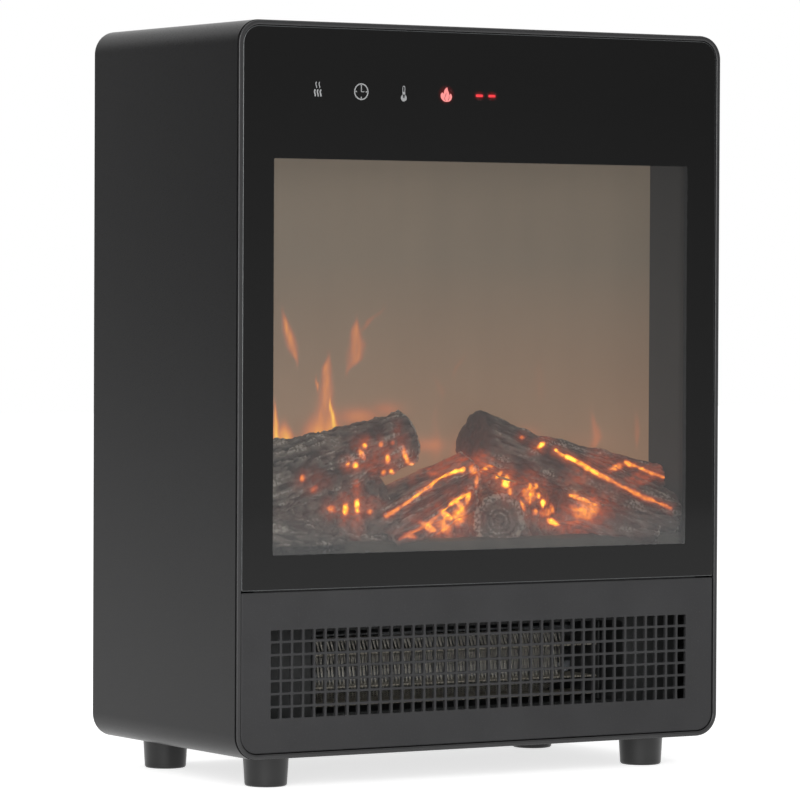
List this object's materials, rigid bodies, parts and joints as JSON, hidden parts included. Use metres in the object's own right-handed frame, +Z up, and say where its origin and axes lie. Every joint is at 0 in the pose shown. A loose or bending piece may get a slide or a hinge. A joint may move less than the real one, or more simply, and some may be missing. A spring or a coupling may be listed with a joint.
{
  "type": "electric fireplace heater",
  "caption": "Compact free-standing electric fireplace: black steel case on feet, touch-key glass front over glowing logs, and a fan heater behind a square-hole grille.",
  "frame": {"origin": "on the floor under the centre of the whole object", "axes": "+Z up, -Y out of the glass front, +X to the right of someone facing the front"},
  "size_m": [0.285, 0.149, 0.3754],
  "materials": {
    "case_paint": "satin powder coat",
    "frame_plastic": "satin",
    "front_glass": "polished, black print round a clear window",
    "grille_paint": "fine satin texture",
    "foot_rubber": "satin",
    "screw_steel": "blackened",
    "zinc_steel": "zinc plated",
    "galvanised_sheet": "galvanised",
    "mica": "matte mica board",
    "heating_wire": "drawn nickel-chromium",
    "liner_plastic": "matte",
    "screen_acrylic": "frosted, warm grey",
    "log_resin": "painted moulding",
    "circuit_board": "solder mask",
    "winding_copper": "enamelled",
    "motor_steel": "laminated",
    "display_black": "gloss",
    "reflector_foil": "bright",
    "nylon": "natural",
    "switch_plastic": "satin"
  },
  "bodies": {
    "housing": {"case_shell": "case_paint", "rear_cover": "case_paint", "front_frame": "frame_plastic", "front_glass": "front_glass", "grille_panel": "grille_paint", "outlet_baffle": "galvanised_sheet", "heater_end_left": "mica", "heater_end_right": "mica", "mica_strip_1": "mica", "mica_strip_2": "mica", "mica_strip_3": "mica", "heater_wire_1": "heating_wire", "heater_wire_2": "heating_wire", "heater_wire_3": "heating_wire", "thermal_cutoff": "zinc_steel", "thermal_fuse": "nylon", "blower_housing": "galvanised_sheet", "impeller_bush": "nylon", "motor_core": "motor_steel", "motor_coil": "winding_copper", "motor_bridge_outer": "zinc_steel", "motor_bridge_inner": "zinc_steel", "partition_plate": "galvanised_sheet", "firebox_liner": "liner_plastic", "flame_screen": "screen_acrylic", "log_set": "log_resin", "ember_light_board": "circuit_board", "flame_stencil": "galvanised_sheet", "spindle_bracket_right": "galvanised_sheet", "spindle_bracket_left": "galvanised_sheet", "spindle_bush": "nylon", "spindle_motor": "zinc_steel", "flame_light_board": "circuit_board", "main_board": "circuit_board", "touch_board": "circuit_board", "led_display": "display_black", "terminal_block": "nylon", "tilt_switch": "switch_plastic", "switch_body": "switch_plastic", "cord_gland": "switch_plastic", "cover_screw_1": "screw_steel", "cover_screw_2": "screw_steel", "cover_screw_3": "screw_steel", "cover_screw_4": "screw_steel", "cover_screw_5": "screw_steel", "cover_screw_6": "screw_steel", "foot_front_left": "foot_rubber", "foot_screw_front_left": "screw_steel", "foot_front_right": "foot_rubber", "foot_screw_front_right": "screw_steel", "foot_rear_left": "foot_rubber", "foot_screw_rear_left": "screw_steel", "foot_rear_right": "foot_rubber", "foot_screw_rear_right": "screw_steel"},
    "impeller": {"impeller": "zinc_steel", "impeller_shaft": "zinc_steel", "motor_rotor": "motor_steel"},
    "spindle": {"flame_spindle": "reflector_foil"},
    "rocker": {"switch_key": "switch_plastic"}
  },
  "joints": [
    {"name": "impeller_spin", "type": "hinge", "parent": "housing", "child": "impeller", "pos_m": [0, 0.0138, 0.062], "axis": [1, 0, 0], "continuous": true},
    {"name": "spindle_spin", "type": "hinge", "parent": "housing", "child": "spindle", "pos_m": [0, 0.011, 0.1393], "axis": [1, 0, 0], "continuous": true},
    {"name": "rocker_rock", "type": "hinge", "parent": "housing", "child": "rocker", "pos_m": [0.112, 0.0662, 0.122], "axis": [1, 0, 0], "range_deg": [-20, 0]}
  ]
}
